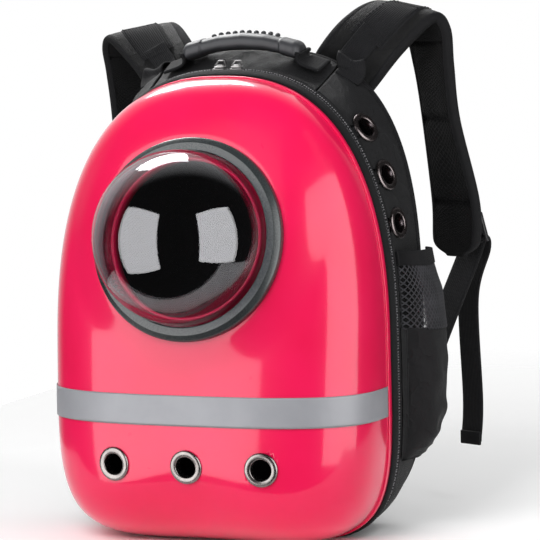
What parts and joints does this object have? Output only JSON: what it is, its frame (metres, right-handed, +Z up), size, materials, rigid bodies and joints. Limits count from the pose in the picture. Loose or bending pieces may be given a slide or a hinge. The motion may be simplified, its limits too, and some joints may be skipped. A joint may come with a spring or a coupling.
{
  "type": "bubble pet carrier backpack",
  "caption": "Backpack for carrying a small pet: a glossy moulded front shell with a clear dome window, cloth sides with round vents and mesh pockets, a rubber grip and padded shoulder straps.",
  "frame": {"origin": "under the middle of the base panel, on the surface that the pack stands on", "axes": "+Z up, -Y out of the front shell towards the dome, +X to the side shown in the picture, the wearer's right is at +X with the pack on the back"},
  "size_m": [0.394, 0.38, 0.4887],
  "materials": {
    "shell": "glossy pinkish red",
    "dome": "clear moulded plastic",
    "ring": "satin dark grey",
    "reflector": "silver grey reflective tape",
    "nickel": "bright nickel",
    "gunmetal": "dark gunmetal",
    "oxford": "charcoal oxford cloth",
    "binding": "black ribbed tape",
    "zip": "black zip tape and coil",
    "mesh": "black elastic net",
    "webbing": "black webbing",
    "pad": "black padded air mesh",
    "rubber": "black ribbed rubber",
    "plastic": "black plastic"
  },
  "bodies": {
    "root": {"front_shell": "shell", "reflective_strip": "reflector", "dome_window": "dome", "dome_ring": "ring", "front_eyelet_left": "nickel", "front_eyelet_middle": "nickel", "front_eyelet_right": "nickel", "rim_binding": "binding", "zip_band": "zip", "side_panel_right": "oxford", "side_panel_left": "oxford", "side_eyelet_top_right": "gunmetal", "side_eyelet_top_left": "gunmetal", "side_eyelet_middle_right": "gunmetal", "side_eyelet_middle_left": "gunmetal", "side_eyelet_bottom_right": "gunmetal", "side_eyelet_bottom_left": "gunmetal", "top_panel": "oxford", "base_panel": "oxford", "back_panel": "pad", "side_pocket_right": "oxford", "side_pocket_left": "oxford", "pocket_mesh_right": "mesh", "pocket_mesh_left": "mesh", "pocket_binding_right": "binding", "pocket_binding_left": "binding", "shoulder_strap_right": "pad", "shoulder_strap_left": "pad", "strap_webbing_right": "webbing", "strap_webbing_left": "webbing", "strap_loop_right": "webbing", "strap_loop_left": "webbing", "strap_buckle_right": "plastic", "strap_buckle_left": "plastic", "buckle_loop_right": "webbing", "buckle_loop_left": "webbing", "adjuster_webbing_right": "webbing", "adjuster_webbing_left": "webbing", "grip": "rubber", "grip_tab_right": "webbing", "grip_tab_left": "webbing", "zip_slider_right": "nickel", "zip_slider_left": "nickel"}
  },
  "joints": []
}
